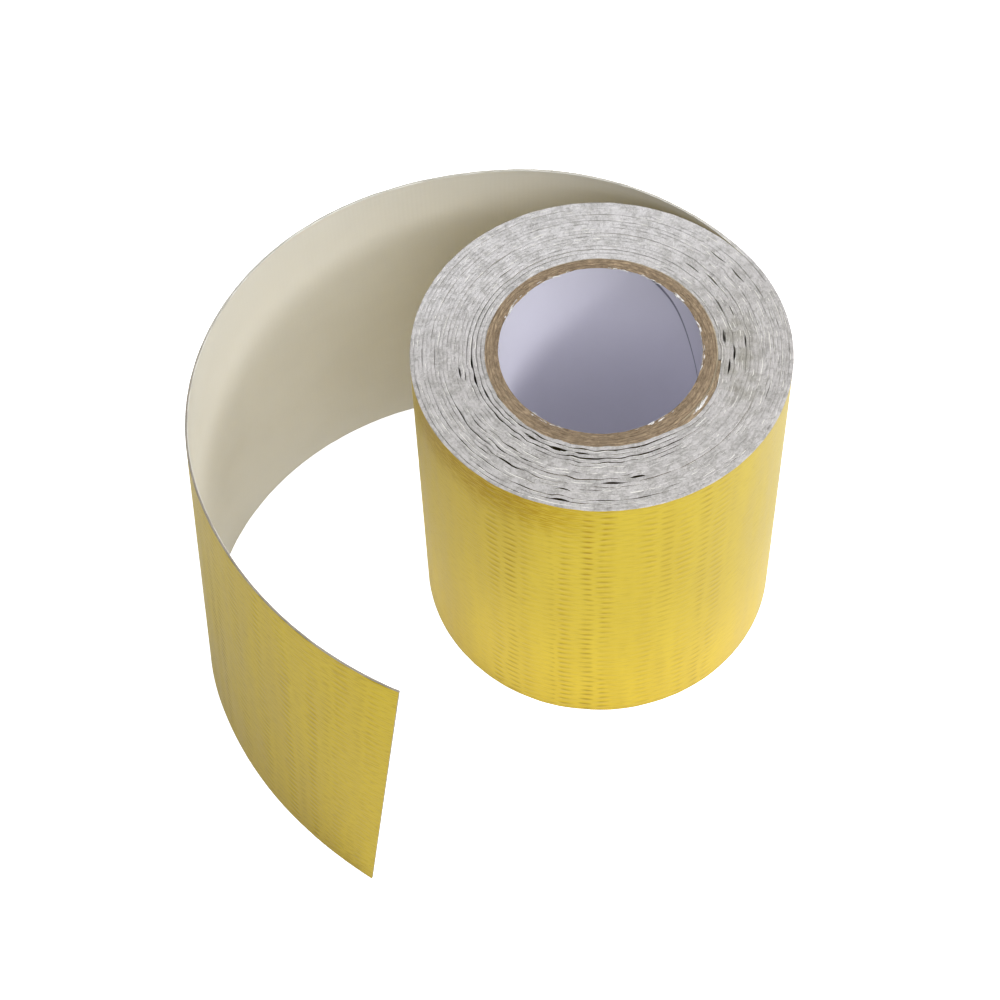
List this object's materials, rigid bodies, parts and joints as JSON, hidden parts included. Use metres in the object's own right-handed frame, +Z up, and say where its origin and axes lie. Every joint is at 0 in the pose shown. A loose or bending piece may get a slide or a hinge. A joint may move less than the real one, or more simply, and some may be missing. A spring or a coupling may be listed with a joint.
{
  "type": "heat reflective tape roll",
  "caption": "Roll of gold-faced woven heat reflective tape on a paperboard core, with a free curled tail still backed by its release liner.",
  "frame": {"origin": "middle of the whole outline as seen from above, on the surface the roll stands on", "axes": "+Z up along the core's axis; -Y faces the viewer of the picture; the tail leaves the roll at the back right, curls round the -X side and ends at the front"},
  "size_m": [0.0776, 0.0764, 0.05],
  "materials": {
    "core_board": "brown paperboard with a white inner ply, matt",
    "foil_cloth": "gold metallised film over woven glass cloth, satin, with pale fibrous cut edges",
    "liner_paper": "smooth off-white release paper"
  },
  "bodies": {
    "root": {"core_tube": "core_board", "tape": "foil_cloth", "release_liner": "liner_paper"}
  },
  "joints": []
}
